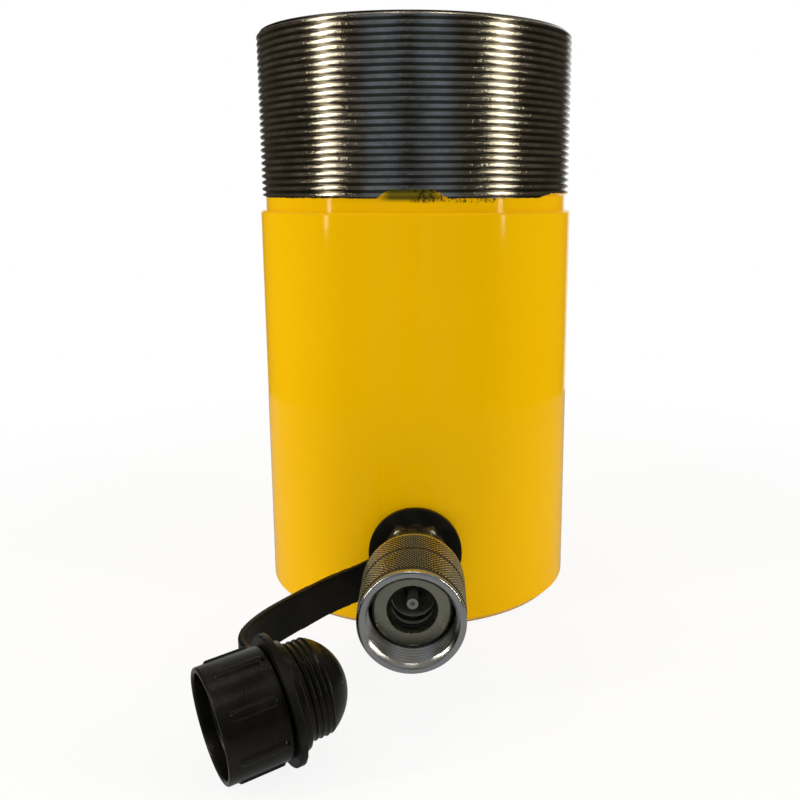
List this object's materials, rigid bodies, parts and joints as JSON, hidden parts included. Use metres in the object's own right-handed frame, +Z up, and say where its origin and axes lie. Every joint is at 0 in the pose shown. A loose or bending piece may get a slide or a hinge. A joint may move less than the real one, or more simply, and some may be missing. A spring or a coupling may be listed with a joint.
{
  "type": "collar thread hydraulic cylinder",
  "caption": "Single acting spring return hydraulic cylinder with a threaded collar, a knurled screw coupler at the base and a tethered ribbed dust cap.",
  "frame": {"origin": "middle of the base's bottom face", "axes": "+Z up the cylinder's axis, the way the ram comes out; the coupler points along -Y; +X to the right seen from the coupler"},
  "size_m": [0.1281, 0.2355, 0.2278],
  "materials": {
    "yellow_paint": "gloss paint over steel, the collar and its thread bare and oiled",
    "ground_chrome": "hard chromed and ground",
    "blackened_steel": "black oxide",
    "turned_steel": "turned, lightly oiled",
    "spring_steel": "oiled spring wire",
    "plated_steel": "bright zinc plate",
    "bearing_strip": "filled bearing strip",
    "seal_polyurethane": "satin seal compound",
    "seal_rubber": "satin black rubber",
    "backup_plastic": "white slippery plastic",
    "cap_plastic": "glossy moulded plastic with a fine grain",
    "strap_plastic": "flexible moulded plastic, half gloss"
  },
  "bodies": {
    "barrel": {"cylinder_body": "yellow_paint", "stop_ring": "blackened_steel", "guide_bearing": "bearing_strip", "rod_wiper": "seal_rubber", "lower_spring_anchor": "turned_steel", "lower_anchor_screw": "blackened_steel", "return_spring": "spring_steel", "coupler_adapter": "plated_steel", "coupler_body": "plated_steel", "coupler_o_ring": "seal_rubber", "coupler_backup_ring": "backup_plastic", "poppet_spring": "spring_steel"},
    "ram": {"plunger": "ground_chrome", "piston_wear_ring": "bearing_strip", "piston_u_cup": "seal_polyurethane", "piston_backup_ring": "backup_plastic", "saddle": "turned_steel", "saddle_retaining_ring": "spring_steel", "upper_spring_anchor": "turned_steel", "upper_anchor_screw": "blackened_steel"},
    "sleeve": {"coupler_sleeve": "plated_steel"},
    "valve": {"coupler_poppet": "turned_steel"},
    "strap": {"dust_cap_strap": "strap_plastic"},
    "cap": {"dust_cap": "cap_plastic"}
  },
  "joints": [
    {"name": "ram_slide", "type": "slide", "parent": "barrel", "child": "ram", "axis": [0, 0, 1], "range_m": [0, 0.1016], "stiffness_N_per_m": 1500, "deforming": ["return_spring"]},
    {"name": "sleeve_spin", "type": "hinge", "parent": "barrel", "child": "sleeve", "pos_m": [0, -0.1, 0.032], "axis": [0, -1, 0], "continuous": true},
    {"name": "valve_slide", "type": "slide", "parent": "barrel", "child": "valve", "axis": [0, 1, 0], "range_m": [0, 0.0035], "stiffness_N_per_m": 900, "springref_m": -0.003, "deforming": ["poppet_spring"]},
    {"name": "strap_swing", "type": "hinge", "parent": "barrel", "child": "strap", "pos_m": [0, -0.0655, 0.032], "axis": [0, 1, 0], "range_deg": [0, 200]},
    {"name": "cap_spin", "type": "hinge", "parent": "strap", "child": "cap", "pos_m": [-0.0384, -0.1474, 0.01976], "axis": [0.8674, 0.4828, 0.1201], "continuous": true}
  ]
}
